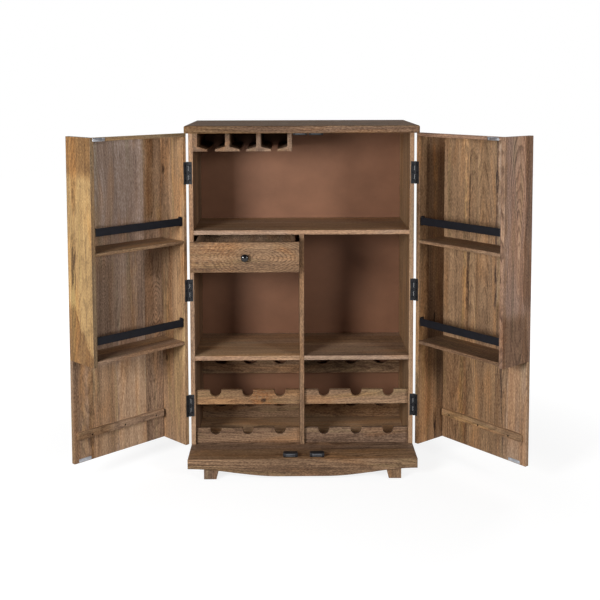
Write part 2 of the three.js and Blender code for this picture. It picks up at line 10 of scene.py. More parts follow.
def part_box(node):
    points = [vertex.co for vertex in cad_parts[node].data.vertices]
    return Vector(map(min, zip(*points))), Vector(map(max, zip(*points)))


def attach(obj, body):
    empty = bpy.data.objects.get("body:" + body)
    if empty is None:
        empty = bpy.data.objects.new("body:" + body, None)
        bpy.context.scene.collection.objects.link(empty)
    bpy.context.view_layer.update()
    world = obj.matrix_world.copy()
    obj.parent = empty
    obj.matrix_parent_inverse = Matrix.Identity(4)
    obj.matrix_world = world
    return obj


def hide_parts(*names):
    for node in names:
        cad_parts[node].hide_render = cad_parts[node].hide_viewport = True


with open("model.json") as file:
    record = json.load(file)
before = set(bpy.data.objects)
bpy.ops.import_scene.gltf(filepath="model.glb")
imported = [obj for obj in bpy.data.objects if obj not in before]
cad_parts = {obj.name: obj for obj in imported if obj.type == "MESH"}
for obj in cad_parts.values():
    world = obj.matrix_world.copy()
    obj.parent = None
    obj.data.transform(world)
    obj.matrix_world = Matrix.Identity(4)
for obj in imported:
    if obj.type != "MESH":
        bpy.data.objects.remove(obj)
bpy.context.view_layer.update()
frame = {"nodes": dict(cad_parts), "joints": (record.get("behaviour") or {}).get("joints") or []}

MM = 0.001
TO_METRES = Matrix.Scale(MM, 4)
X_AXIS = Vector((1, 0, 0))
Y_AXIS = Vector((0, 1, 0))
Z_AXIS = Vector((0, 0, 1))

# Camera, as fitted to the photograph: pixels, millimetres of sensor, metres and degrees
IMAGE_SIZE = 600
FOCAL_PIXELS = 997.976
SENSOR_WIDTH = 36
FRAME_SHIFT = -0.2333
CAMERA_PLACE = Vector((-0.034132, -3.969928, 1.563247))
CAMERA_PITCH = 4.579
CAMERA_YAW = 0.611
CAMERA_ROLL = -0.146

# Light, with places and sizes in metres
WHITE = (1, 1, 1)
WORLD_STRENGTH = 0.03
BACKDROP_STRENGTH = 1.0
BACKDROP_TURN = (-0.1, 0.3)
LIGHT_TARGET = Vector((0, 0.1, 0.75))
LAMPS = {
    "key": {"place": Vector((-2.15, -3.175, 1.58)), "size": 1.1, "level": 1.05},
    "fill": {"place": Vector((3.0, -3.48, 1.8)), "size": 0.85, "level": 0.42},
    "rear_left": {"place": Vector((-2.6, 3.2, 2.1)), "size": 1.4, "level": 0.28},
    "rear_right": {"place": Vector((2.6, 3.2, 2.1)), "size": 1.4, "level": 0.28},
}
FLOOR_HALF = 12
FLOOR_DROP = 0.0004
FLOOR_TONE = 0.25
FLOOR_GLOW = (0.82, 1.0)
FLOOR_GLOW_REACH = (0.9, 2.4)

# Doors, in millimetres: u runs from the hinge side, v out from the opening plane, z up
PIN_OFFSET = 4
PIN_SETBACK = 2
DOOR_WIDTH = 447.5
DOOR_DEPTH = 162
BOARD = 18
PANEL_FACE = DOOR_DEPTH - BOARD

# How far inside their faces the figure of cleats, head strips and free edges changes, in millimetres
CLEAT_SKIN = 0.2
HEAD_STRIP_GAP = 0.3
EDGE_SKIN = 0.4

# Screws, in millimetres: their heads, and the cross recess as shares of the radius
SCREW_RADIUS = 3.3
SCREW_PROUD = 0.15
SCREW_DEPTH = 1.4
SCREW_FLOOR = 0.3
SCREW_SIDES = 16
FACE_SHARE = 0.88
CROSS_ARM_SHARE = 0.62
CROSS_SLOT_SHARE = 0.16

# Hinge leaves, in millimetres
HINGE_HEIGHTS = (249, 722.25, 1195.5)
LEAF_HOLE_PITCH = 29
LEAF_HOLE_PLACE = 10
LEAF_THICKNESS = 1.6
LEAF_FACE = 0.2

# Strike plates, in millimetres: u, v and z of each plate's middle
STRIKE_PLACES = {
    "left": {"head": (408, 0, 1347), "foot": (400, PANEL_FACE, 98.5)},
    "right": {"head": (391, 0, 1347), "foot": (393, PANEL_FACE, 98.5)},
}
PLATE_SEAT = 0.2
STRIKE_SIZE = (56, 13)
STRIKE_THICKNESS = 1.2
STRIKE_CORNER = 3
STRIKE_EASE = 0.3
STRIKE_SCREW_SPAN = 20
STRIKE_SCREW_DEPTH = 0.6

# Guard bars' end plates and bolts, in millimetres
BAR_FLOORS = (579, 988)
BAR_HEIGHT = 30
BAR_THICKNESS = 3
BAR_SEAT = 18.3
TAB_SIZE = (20, 38)
TAB_THICKNESS = 1.6
TAB_CORNER = 3
TAB_EASE = 0.4
TAB_PLACE = 16
BOLT_SPAN = 13
BOLT_RADIUS = 4.2
BOLT_HEIGHT = 2.4
BOLT_FOOT = 0.1
BOLT_SIDES = 14
BOLT_ANGLES = (0.0, 0.4, 0.8, 1.2)

# Cleat screws, in millimetres
CLEAT_SCREWS = (66, 219, 372)
CLEAT_SCREW_HEIGHT = 193.5
CLEAT_SCREW_V = 134
CLEAT_SCREW_RADIUS = 4.2
CLEAT_SCREW_DEPTH = 7.6

# Catches, in millimetres
CATCH_CORNER = 5
CATCH_CORNER_STEPS = 6
CATCH_EDGE = 2.2
CATCH_EDGE_STEPS = 4
POLE_SIZE = (38, 2.6)
POLE_CORNER = 0.6
POLE_CORNER_STEPS = 2
POLE_EASE = 0.25
POLE_SPACING = 6
POLE_PROUD = 0.8
POLE_DEPTH = 3
CATCH_SCREW_SPAN = 24
CATCH_SCREW_RADIUS = 2.6
CATCH_SCREW_PROUD = 0.2
CATCH_SCREW_DEPTH = 1.0
CATCH_SCREW_SUNK = 0.1

# Knob: radius and height along its foot and neck, in millimetres, then an arc round its ball
KNOB_FOOT = ((0, 0), (11, 0), (11, 1.4), (10.4, 2.1), (8.8, 3.2), (7.4, 4.4))
KNOB_NECK = ((6.4, 6), (6, 8), (6.1, 9.6), (6.8, 10.8))
KNOB_MIDDLE_SHARE = 0.66
KNOB_ARC = (-math.pi / 4, math.pi / 2)
KNOB_ARC_STEPS = 16
KNOB_SIDES = 48

# Edges that turn by more than this stay sharp, in degrees
SMOOTH_ANGLE = 30
KNOB_SMOOTH_ANGLE = 50

# Wood figure, in metres. A noise is given as its stretch along, across and through the board, its detail,
# roughness and swirl; levels are where a step begins and ends, and the values there
NOISE_MIDDLE = 0.5
GRAIN_NOISES = {
    "streak": {"noise": ((2.4, 120, 120), 3.0, 0.6), "amount": 0.46},
    "band": {"noise": ((1.5, 24, 24), 2.0, 0.5, 0.4), "amount": 0.36},
    "blotch": {"noise": ((2.4, 8, 8), 2.0, 0.55, 0.5), "amount": 0.42},
    "fine": {"noise": ((26, 560, 560), 2.0, 0.6), "amount": 0.3},
    "speck": {"noise": ((110, 370, 370), 1.0), "amount": 0.6},
}
PORE_NOISE = ((48, 820, 820), 1.0)
PORE_LEVELS = (0.6, 0.72)
PORE_DARKENING = 0.06
RING_SPACING = 0.0065
RING_NOISE = ((4.5, 20, 20), 3.0, 0.55)
RING_WOBBLE = 3.2
RING_RISE = (0.35, 0.85)
RING_FALL = (0.85, 1.0)
RING_PATCHES = (0.35, 0.6, 0.2, 1.0)
RING_DARKENING = 0.15
TINTED_PATCHES = {
    "flame": {"noise": ((2.6, 17, 17), 2.0, 0.5, 0.5), "levels": (0.46, 0.66), "tint": (1.18, 0.95, 0.68)},
    "moss": {"noise": ((2.0, 30, 30), 2.0, 0.5, 0.5), "levels": (0.55, 0.7), "tint": (0.9, 1.02, 0.86)},
}
PATCH_STRENGTH = 0.5
VEIN_NOISE = ((1.1, 24, 24), 3.0, 0.5, 0.5)
VEIN_HALF = 0.012
VEIN_PATCH_NOISE = ((1.6, 6, 6), 1.0)
VEIN_PATCH_LEVELS = (0.56, 0.66)
VEIN_STRENGTH = 0.4
VEIN_COLOR = (0.045, 0.024, 0.013)
WARM_TINT = (1.3, 0.88, 0.52)
GREY_TINT = (0.92, 1.1, 1.7)
WOOD_RAMP = (
    (0.0, (0.018, 0.009, 0.005)),
    (0.2, (0.060, 0.031, 0.016)),
    (0.4, (0.140, 0.078, 0.040)),
    (0.55, (0.235, 0.138, 0.072)),
    (0.7, (0.345, 0.205, 0.105)),
    (0.85, (0.470, 0.290, 0.150)),
    (1.0, (0.620, 0.420, 0.240)),
)
WOOD_ROUGHNESS = 0.56
FINE_ROUGHNESS = 0.35
PORE_ROUGHNESS = 0.15
FINE_HEIGHT = 0.6
PORE_HEIGHT = 0.7
RING_HEIGHT = 0.25
WOOD_BUMP = 0.35
WOOD_BUMP_HEIGHT = 0.0006
WOOD_GLOSS = 0.2

# Wear along the boards' edges
BEVEL_SAMPLES = 4
WEAR_RADIUS = 0.0028
WEAR_LEVELS = (0.97, 0.72)
WEAR_LIGHTENING = 0.22
CHIP_NOISE = ((30, 60, 60), 2.0)
CHIP_LEVELS = (0.3, 0.6, 0.3, 1.0)

# Planks in a board. The pith is where its rings run round, below the board
PLANK_WIDTH = 0.09
DOOR_SIDE_PLANK = 0.08
SINGLE_PLANK = 0.2
CUT_SPREAD = 0.6
TONE_SPREAD = 0.14
TONE_LIMITS = (0.05, 0.95)
GREY_SPREAD = 0.4
SEAM_HALF = 0.0009
SEAM_DARKENING = 0.16
PLANK_JUMP = (9.7, 3.1, 5.3)
BOARD_JUMP = (1.37, 0.61, 0.83)
PITH_DEPTH = 0.018
PITH_DEPTH_SPREAD = 0.03
PITH_TAPER = 0.07
CHANCE_SPLIT = (0.45, 0.55)

# Ovals and knots, marks and curly stretches
EYE_FADE_SHARE = 0.45
EYE_FIGURE = 0.6
KNOT_SHARES = (0.5, 1.3)
KNOT_DARKENING = 0.34
MARK_FADE = 0.05
MARK_FADE_SHARE = 1 / 4
MARK_SWAY_NOISE = ((9, 20, 20), 3.0)
MARK_SWAY = 0.012
MARK_SWAY_SHARE = 1.2
WIDEST_SWAY = 0.03
RAGGED_BELOW = 0.025
RAGGED_NOISE = ((20, 60, 60), 2.0)
RAGGED_LEVELS = (0.4, 0.56, 0.35, 1.1)
CURL_NOISE = ((60, 95, 95), 2.0, 0.5, 1.2)
CURL_START = (-0.03, 0.02)
CURL_END = (-0.03, 0.03)
CURL_LEVELS = (0.42, 0.62)
COOL_SHARE = 1 / 12

# Feet's glides
GLIDE_HEIGHT = 0.004
GLIDE_COLOR = (0.02, 0.02, 0.022)
GLIDE_ROUGHNESS = 0.45

# Metal and the back board, in metres
METAL_WEAR_RADIUS = 0.0009
METAL_WEAR_LEVELS = (0.97, 0.75)
METAL_WEAR_COLOR = (0.35, 0.34, 0.33)
METAL_GRAIN_NOISE = ((900, 900, 900), 2.0)
METAL_CLOUD_NOISE = ((60, 60, 60), 2.0)
METAL_CLOUD_LEVELS = (0.3, 0.7, 0.82, 1.15)
METAL_ROUGH_SWING = 0.12
METAL_BUMP_HEIGHT = 0.0002
BACK_MOTTLE_NOISE = ((7, 7, 9), 3.0, 0.6)
BACK_SPECK_NOISE = ((420, 420, 420), 2.0)
BACK_MOTTLE_SHARE = 0.7
BACK_RAMP = ((0.3, (0.158, 0.073, 0.040)), (0.7, (0.215, 0.100, 0.055)))
BACK_ROUGHNESS = 0.45
BACK_ROUGH_SWING = 0.1
BACK_BUMP = 0.2
BACK_BUMP_HEIGHT = 0.0003
BACK_GLOSS = 0.22


class Shader:
    """Adds nodes to one tree."""

    def __init__(self, tree):
        self.tree = tree

    def node(self, kind, inputs=(), **settings):
        made = self.tree.nodes.new(kind)
        for name, value in settings.items():
            setattr(made, name, value)
        for socket, value in dict(inputs).items():
            if isinstance(value, bpy.types.NodeSocket):
                self.tree.links.new(value, made.inputs[socket])
            else:
                made.inputs[socket].default_value = value
        return made

    def math(self, operation, first, second=0.0, clamp=False):
        values = {0: first, 1: second}
        return self.node("ShaderNodeMath", values, operation=operation, use_clamp=clamp).outputs[0]

    def add(self, first, second):
        return self.math("ADD", first, second)

    def subtract(self, first, second):
        return self.math("SUBTRACT", first, second)

    def multiply(self, first, second):
        return self.math("MULTIPLY", first, second)

    def blend(self, share, first, second):
        """The first value where the share is 0, the second where it is 1."""
        kept = self.multiply(first, self.subtract(1.0, share))
        return self.add(kept, self.multiply(second, share))

    def swing(self, noise, amount):
        """How far a noise is from its middle, times an amount."""
        return self.multiply(self.subtract(noise, NOISE_MIDDLE), amount)

    def distance(self, x, y):
        return self.math("SQRT", self.add(self.multiply(x, x), self.multiply(y, y)))

    def vector(self, operation, first, second=(0, 0, 0)):
        made = self.node("ShaderNodeVectorMath", {0: first, 1: second}, operation=operation)
        return made.outputs["Value" if operation in ("LENGTH", "DOT_PRODUCT") else "Vector"]

    def triple(self, value):
        return self.node("ShaderNodeCombineXYZ", {0: value, 1: value, 2: value}).outputs[0]

    def noise(self, place, stretch, detail=2.0, rough=0.5, swirl=0.0):
        scaled = self.vector("MULTIPLY", place, stretch)
        values = {"Vector": scaled, "Scale": 1.0, "Detail": detail, "Roughness": rough, "Distortion": swirl}
        return self.node("ShaderNodeTexNoise", values).outputs[0]

    def step(self, value, low, high, out_low=0.0, out_high=1.0):
        values = {"Value": value, "From Min": low, "From Max": high, "To Min": out_low, "To Max": out_high}
        return self.node("ShaderNodeMapRange", values, interpolation_type="SMOOTHSTEP").outputs[0]

    def fall(self, value, low, high):
        """1 below the low value and 0 above the high one."""
        return self.step(value, low, high, 1.0, 0.0)

    def mix(self, share, first, second, blend="MIX"):
        values = {0: share, 6: first, 7: second}
        return self.node("ShaderNodeMix", values, data_type="RGBA", blend_type=blend).outputs[2]

    def ramp(self, value, stops, interpolation="LINEAR"):
        made = self.node("ShaderNodeValToRGB", {0: value})
        made.color_ramp.interpolation = interpolation
        elements = made.color_ramp.elements
        while len(elements) > 1:
            elements.remove(elements[-1])
        elements[0].position, elements[0].color = stops[0]
        for position, color in stops[1:]:
            elements.new(position).color = color
        return made.outputs

    def rest_place(self):
        """Place at rest, in metres, in the frame of the whole cabinet."""
        return self.node("ShaderNodeTexCoord").outputs["Object"]

    def worn_edges(self, radius, levels):
        """A normal that is rounded off at the edges, and how much each place is worn."""
        soft = self.node("ShaderNodeBevel", {"Radius": radius}, samples=BEVEL_SAMPLES).outputs[0]
        flat = self.node("ShaderNodeNewGeometry").outputs["Normal"]
        return soft, self.step(self.vector("DOT_PRODUCT", soft, flat), *levels)

    def bump(self, height, strength, distance, normal=None):
        made = self.node("ShaderNodeBump", {"Height": height, "Strength": strength, "Distance": distance})
        if normal is not None:
            self.tree.links.new(normal, made.inputs["Normal"])
        return made.outputs[0]

    def finish(self, inputs):
        surface = self.node("ShaderNodeBsdfPrincipled", inputs)
        self.node("ShaderNodeOutputMaterial", {"Surface": surface.outputs[0]})


def opaque(color):
    return (*color, 1.0)


def new_material(name):
    material = bpy.data.materials.new(name)
    material.use_nodes = True
    material.node_tree.nodes.clear()
    return material, Shader(material.node_tree)


def dress(node, material):
    materials = frame["nodes"][node].data.materials
    materials.clear()
    materials.append(material)


# Wood


def wood_group():
    """Wood grain, shared by every board. Place is in metres: x along the grain, y across, z through."""
    group = bpy.data.node_groups.new("wood_grain", "ShaderNodeTree")
    inputs = {"Place": "Vector", "Radius": "Float", "Tone": "Float", "Grey": "Float", "Figure": "Float",
              "Wear": "Float"}
    outputs = {"Color": "Color", "Roughness": "Float", "Height": "Float"}
    for way, sockets in (("INPUT", inputs), ("OUTPUT", outputs)):
        for name, kind in sockets.items():
            group.interface.new_socket(name=name, in_out=way, socket_type=f"NodeSocket{kind}")
    s = Shader(group)
    given = group.nodes.new("NodeGroupInput").outputs
    place, grey = given["Place"], given["Grey"]

    noises = {name: s.noise(place, *look["noise"]) for name, look in GRAIN_NOISES.items()}
    pore = s.step(s.noise(place, *PORE_NOISE), *PORE_LEVELS)
    wobble = s.multiply(s.noise(place, *RING_NOISE), RING_WOBBLE)
    saw = s.math("FRACT", s.add(s.math("DIVIDE", given["Radius"], RING_SPACING), wobble))
    late = s.math("MINIMUM", s.step(saw, *RING_RISE), s.fall(saw, *RING_FALL))
    ring = s.multiply(late, s.multiply(given["Figure"], s.step(noises["blotch"], *RING_PATCHES)))

    tone = given["Tone"]
    for name, look in GRAIN_NOISES.items():
        tone = s.add(tone, s.swing(noises[name], look["amount"]))
    tone = s.subtract(tone, s.multiply(ring, RING_DARKENING))
    tone = s.subtract(tone, s.multiply(pore, PORE_DARKENING))
    tone = s.math("ADD", tone, s.multiply(given["Wear"], WEAR_LIGHTENING), clamp=True)

    color = s.ramp(tone, [(at, opaque(shade)) for at, shade in WOOD_RAMP])["Color"]
    for look in TINTED_PATCHES.values():
        there = s.step(s.noise(place, *look["noise"]), *look["levels"])
        color = s.mix(s.multiply(there, PATCH_STRENGTH), color, opaque(look["tint"]), "MULTIPLY")
    warmth = s.math("MULTIPLY", grey, -1.0, clamp=True)
    color = s.mix(warmth, color, opaque(WARM_TINT), "MULTIPLY")
    color = s.mix(grey, color, opaque(GREY_TINT), "MULTIPLY")
    off_vein = s.math("ABSOLUTE", s.subtract(s.noise(place, *VEIN_NOISE), NOISE_MIDDLE))
    there = s.step(s.noise(place, *VEIN_PATCH_NOISE), *VEIN_PATCH_LEVELS)
    vein = s.multiply(s.fall(off_vein, 0.0, VEIN_HALF), there)
    color = s.mix(s.multiply(vein, VEIN_STRENGTH), color, opaque(VEIN_COLOR))

    rough = s.add(WOOD_ROUGHNESS, s.swing(noises["fine"], FINE_ROUGHNESS))
    rough = s.add(rough, s.multiply(pore, PORE_ROUGHNESS))
    height = s.subtract(s.multiply(noises["fine"], FINE_HEIGHT), s.multiply(pore, PORE_HEIGHT))
    height = s.subtract(height, s.multiply(ring, RING_HEIGHT))
    s.node("NodeGroupOutput", {"Color": color, "Roughness": rough, "Height": height})
    return group


wood_grain = wood_group()


def extent(node, axes):
    """Lowest and highest place of a node's points along each axis."""
    points = [v.co for v in frame["nodes"][node].data.vertices]
    along = [[p.dot(axis) for p in points] for axis in axes]
    return [(min(values), max(values)) for values in along]


def drawn(rng, spread):
    """A random number, at most half the spread from zero."""
    return (rng.random() - 0.5) * spread


def random_planks(width, tone, grey, rng, typical):
    """Planks of about the typical width: end as a share of the board, tone and greyness."""
    count = max(1, round(width / typical))
    ends = [(i + 1 + drawn(rng, CUT_SPREAD)) / count for i in range(count - 1)] + [1.0]
    least, most = TONE_LIMITS
    planks = []
    for end in ends:
        plank_tone = min(most, max(least, tone + drawn(rng, TONE_SPREAD)))
        plank_grey = max(0.0, grey + drawn(rng, GREY_SPREAD))
        planks.append((end, plank_tone, plank_grey))
    return planks


def plank_stops(planks, width, rng):
    """Color ramp stops across a board: tone, chance and pith in the colour, greyness in the alpha."""
    seam = SEAM_HALF / width
    stops = []
    start = 0.0
    for end, tone, grey in planks:
        chance = rng.random()
        pith = min(1.0, max(0.0, (start + end) / 2 + drawn(rng, end - start)))
        if start > 0:
            stops.append((start - seam, (max(0.0, tone - SEAM_DARKENING), chance, pith, grey)))
            stops.append((start + seam, (tone, chance, pith, grey)))
        else:
            stops.append((0.0, (tone, chance, pith, grey)))
        start = end
    return stops


def grain_place(s, world, grain, across, origin):
    """Place along the grain, across it and through the board, from the place at rest."""
    turn = Matrix((grain, across, grain.cross(across))).transposed().to_euler("XYZ")
    values = {"Vector": world, "Location": origin, "Rotation": turn}
    return s.node("ShaderNodeMapping", values, vector_type="TEXTURE").outputs[0]


def beyond(s, world, direction, offset):
    """1 where the place at rest lies further along the direction than the offset."""
    return s.math("GREATER_THAN", s.vector("DOT_PRODUCT", world, direction), offset)


def add_eyes(s, parts, eyes, radius, tone, figure):
    """Rings round ovals and knots: place along and across, stretch, reach, and the core of a knot or 0."""
    for x, y, stretch, reach, core in eyes:
        off = s.distance(s.math("DIVIDE", s.subtract(parts["X"], x), stretch), s.subtract(parts["Y"], y))
        near = s.fall(off, reach * EYE_FADE_SHARE, reach)
        radius = s.blend(near, radius, off)
        if core > 0:
            inner, outer = (core * share for share in KNOT_SHARES)
            tone = s.subtract(tone, s.step(off, inner, outer, KNOT_DARKENING, 0.0))
        else:
            figure = s.add(figure, s.multiply(near, EYE_FIGURE))
    return radius, tone, figure


def add_marks(s, place, parts, marks, inside, tone, grey):
    """Streaks from one place to another: half width, core share, amount and warmth.

    A positive amount darkens, and a positive warmth takes greyness away. inside is 0 where the marks
    are left out, or None.
    """
    for (x0, y0), (x1, y1), half, core, amount, warmth in marks:
        low, high = min(x0, x1), max(x0, x1)
        fade = min(MARK_FADE, (high - low) * MARK_FADE_SHARE)
        begun = s.step(parts["X"], low, low + fade)
        ends = s.multiply(begun, s.fall(parts["X"], high - fade, high))
        along = s.multiply(s.step(parts["X"], x0, x1), y1 - y0)
        reach = min(half, WIDEST_SWAY) * MARK_SWAY_SHARE + MARK_SWAY
        sway = s.swing(s.noise(place, *MARK_SWAY_NOISE), reach)
        off = s.math("ABSOLUTE", s.subtract(parts["Y"], s.add(s.add(y0, along), sway)))
        there = s.multiply(s.fall(off, half * core, half), ends)
        if inside is not None:
            there = s.multiply(there, inside)
        if half < RAGGED_BELOW:
            there = s.multiply(there, s.step(s.noise(place, *RAGGED_NOISE), *RAGGED_LEVELS))
        tone = s.subtract(tone, s.multiply(there, amount))
        grey = s.subtract(grey, s.multiply(there, warmth))
    return tone, grey


def add_curl(s, place, parts, curl, tone, grey):
    """A curly, warmer stretch along the board: start, end, amount and heat."""
    start, end, amount, heat = curl
    begun = s.step(parts["X"], *(start + reach for reach in CURL_START))
    there = s.multiply(begun, s.fall(parts["X"], *(end + reach for reach in CURL_END)))
    wave = s.noise(place, *CURL_NOISE)
    tone = s.add(tone, s.multiply(s.swing(wave, there), amount))
    warm = s.multiply(there, s.step(wave, *CURL_LEVELS, heat, heat * COOL_SHARE))
    return tone, s.subtract(grey, warm)


def wood_board(node, grain, across, seed, figure, tone=None, grey=None, planks=None, typical=PLANK_WIDTH,
               eyes=(), marks=(), outer=None, curl=None, turned=None, pale=None, spacing=1.0, tint=None,
               gloss=WOOD_GLOSS, glide=False):
    """Wood for one board, with directions at rest for its grain and across it.

    The board has the planks given, or random ones round its tone and greyness. Places in eyes, marks and
    curl are measured along the grain from the board's middle, and across it from its low side. Beyond the
    outer offset along its direction the marks are left out. turned is a strip whose grain runs another
    way, and pale an edge of another tone, both beyond an offset along a direction. spacing widens the
    rings, and tint colours the whole board.
    """
    rng = random.Random(seed)
    through = grain.cross(across)
    spans = extent(node, (grain, across, through))
    width = spans[1][1] - spans[1][0]
    origin = grain * sum(spans[0]) / 2 + across * spans[1][0] + through * sum(spans[2]) / 2
    if planks is None:
        planks = random_planks(width, tone, grey, rng, typical)
    material, s = new_material(f"wood_{node}")
    world = s.rest_place()
    local = grain_place(s, world, grain, across, origin)
    if turned:
        direction, offset, *strip = turned
        values = {0: beyond(s, world, direction, offset), 4: local, 5: grain_place(s, world, *strip)}
        local = s.node("ShaderNodeMix", values, data_type="VECTOR").outputs[1]
    parts = s.node("ShaderNodeSeparateXYZ", {0: local}).outputs
    share = s.math("DIVIDE", parts["Y"], width)
    ramp = s.ramp(share, plank_stops(planks, width, rng), "CONSTANT")
    plank = s.node("ShaderNodeSeparateColor", {0: ramp["Color"]}).outputs
    tone, chance, pith, grey = plank[0], plank[1], plank[2], ramp["Alpha"]

    jump = s.vector("MULTIPLY", s.triple(chance), PLANK_JUMP)
    place = s.vector("ADD", s.vector("ADD", local, jump), [seed * length for length in BOARD_JUMP])
    side = s.subtract(parts["Y"], s.multiply(pith, width))
    lean = s.multiply(parts["X"], s.step(chance, *CHANCE_SPLIT, -PITH_TAPER, PITH_TAPER))
    below = s.add(s.multiply(chance, PITH_DEPTH_SPREAD), PITH_DEPTH)
    radius = s.distance(side, s.add(s.add(parts["Z"], lean), below))
    radius, tone, figure = add_eyes(s, parts, eyes, radius, tone, figure)
    radius = s.math("DIVIDE", radius, spacing)
    inside = s.subtract(1.0, beyond(s, world, *outer)) if outer else None
    tone, grey = add_marks(s, place, parts, marks, inside, tone, grey)
    if curl:
        tone, grey = add_curl(s, place, parts, curl, tone, grey)
    if pale:
        direction, offset, pale_tone, pale_grey = pale
        there = beyond(s, world, direction, offset)
        tone = s.blend(there, tone, pale_tone)
        grey = s.blend(there, grey, pale_grey)

    soft, worn = s.worn_edges(WEAR_RADIUS, WEAR_LEVELS)
    wear = s.multiply(worn, s.step(s.noise(place, *CHIP_NOISE), *CHIP_LEVELS))
    values = {"Place": place, "Radius": radius, "Tone": tone, "Grey": grey, "Figure": figure, "Wear": wear}
    grained = s.node("ShaderNodeGroup", values, node_tree=wood_grain).outputs
    color, rough = grained["Color"], grained["Roughness"]
    if tint:
        color = s.mix(1.0, color, opaque(tint), "MULTIPLY")
    if glide:
        low = s.math("LESS_THAN", s.node("ShaderNodeSeparateXYZ", {0: world}).outputs["Z"], GLIDE_HEIGHT)
        color = s.mix(low, color, opaque(GLIDE_COLOR))
        rough = s.blend(low, rough, GLIDE_ROUGHNESS)
    bump = s.bump(grained["Height"], WOOD_BUMP, WOOD_BUMP_HEIGHT, soft)
    s.finish({"Base Color": color, "Roughness": rough, "Normal": bump, "Specular IOR Level": gloss})
    dress(node, material)


# Other materials


def metal_material(name, color, rough, metallic, peel=0.5, wear=0.0, gloss=0.5):
    """Powder coat or plated metal: a fine skin texture, slightly worn along its edges."""
    material, s = new_material(name)
    place = s.rest_place()
    grain = s.noise(place, *METAL_GRAIN_NOISE)
    shade = s.step(s.noise(place, *METAL_CLOUD_NOISE), *METAL_CLOUD_LEVELS)
    soft, worn = s.worn_edges(METAL_WEAR_RADIUS, METAL_WEAR_LEVELS)
    base = s.mix(1.0, opaque(color), s.triple(shade), "MULTIPLY")
    base = s.mix(s.multiply(worn, wear), base, opaque(METAL_WEAR_COLOR))
    roughness = s.add(rough, s.swing(grain, METAL_ROUGH_SWING))
    bump = s.bump(grain, peel, METAL_BUMP_HEIGHT, soft)
    s.finish({"Base Color": base, "Roughness": roughness, "Normal": bump, "Metallic": metallic,
              "Specular IOR Level": gloss})
    return material


def back_material(name):
    """Brown lacquered hardboard: nearly flat, with faint mottling."""
    material, s = new_material(name)
    place = s.rest_place()
    mottle = s.noise(place, *BACK_MOTTLE_NOISE)
    speck = s.noise(place, *BACK_SPECK_NOISE)
    share = s.add(s.multiply(mottle, BACK_MOTTLE_SHARE), s.multiply(speck, 1 - BACK_MOTTLE_SHARE))
    color = s.ramp(share, [(at, opaque(shade)) for at, shade in BACK_RAMP])["Color"]
    rough = s.add(BACK_ROUGHNESS, s.multiply(mottle, BACK_ROUGH_SWING))
    bump = s.bump(speck, BACK_BUMP, BACK_BUMP_HEIGHT)
    s.finish({"Base Color": color, "Roughness": rough, "Normal": bump, "Specular IOR Level": BACK_GLOSS})
    return material


metal_looks = {
    "black_iron": {"color": (0.011, 0.011, 0.013), "rough": 0.5, "metallic": 0.2, "wear": 0.12, "gloss": 0.3},
    "black_bar": {"color": (0.008, 0.008, 0.011), "rough": 0.5, "metallic": 0.1, "wear": 0.08, "gloss": 0.16},
    "black_screw": {"color": (0.010, 0.010, 0.011), "rough": 0.6, "metallic": 0.0, "peel": 0.2,
                    "gloss": 0.04},
    "black_gloss": {"color": (0.006, 0.006, 0.007), "rough": 0.16, "metallic": 0.1, "peel": 0.1},
    "black_plastic": {"color": (0.012, 0.012, 0.014), "rough": 0.42, "metallic": 0.0, "wear": 0.06,
                      "gloss": 0.3},
    "bright_steel": {"color": (0.40, 0.41, 0.44), "rough": 0.34, "metallic": 0.95, "peel": 0.25},
    "pole_steel": {"color": (0.20, 0.205, 0.22), "rough": 0.4, "metallic": 0.9, "peel": 0.25},
    "dark_steel": {"color": (0.03, 0.03, 0.032), "rough": 0.4, "metallic": 0.7, "wear": 0.2},
}
metals = {name: metal_material(name, **looks) for name, looks in metal_looks.items()}

# Doors' own directions at rest, from the joints' places and ranges. The corner is where u and v are 0

doors = {}
for joint in frame["joints"]:
    if joint["type"] != "hinge":
        continue
    side_name = joint["child"].split("_")[0]
    sign = -1 if side_name == "left" else 1
    turn = Matrix.Rotation(sign * math.radians(-joint["range_deg"][0]), 3, "Z")
    pin = Vector((*joint["pos_m"][:2], 0))
    u, v = turn @ Vector((-sign, 0, 0)), turn @ Vector((0, -1, 0))
    corner = pin + u * PIN_OFFSET * MM + v * PIN_SETBACK * MM
    doors[side_name] = {"pin": pin, "corner": corner, "u": u, "v": v, "sign": sign}


def door_matrix(side_name):
    """Takes a door's u, v and z in millimetres to places at rest in metres."""
    door = doors[side_name]
    columns = Matrix((door["u"], door["v"], Z_AXIS)).transposed()
    return Matrix.Translation(door["corner"]) @ columns.to_4x4() @ TO_METRES


# Boards of the carcass and the drawer. Their edges and turned strips lie beyond a place along a direction,
# in metres, and a turned strip has a grain, a direction across it and an origin of its own

TOP_BOARD_EDGE = (-Y_AXIS, 0.1815)
FRONT_EDGE = (-Y_AXIS, 0.0106)
# Beyond this place the base board's top takes a paler tone, partly painted light
BASE_INSIDE_PAINTED_LIGHT = (Y_AXIS, 0.01)
LEFT_RUNNER = (X_AXIS, -0.4178)
DIVIDER_RUNNER = (-X_AXIS, -0.0048)
DRAWER_BACK = (Y_AXIS, 0.108)
ALONG_X = (X_AXIS, Z_AXIS, Vector((0, 0, 0)))
ALONG_Y = (Y_AXIS, Z_AXIS, Vector((0, 0, 0.8)))

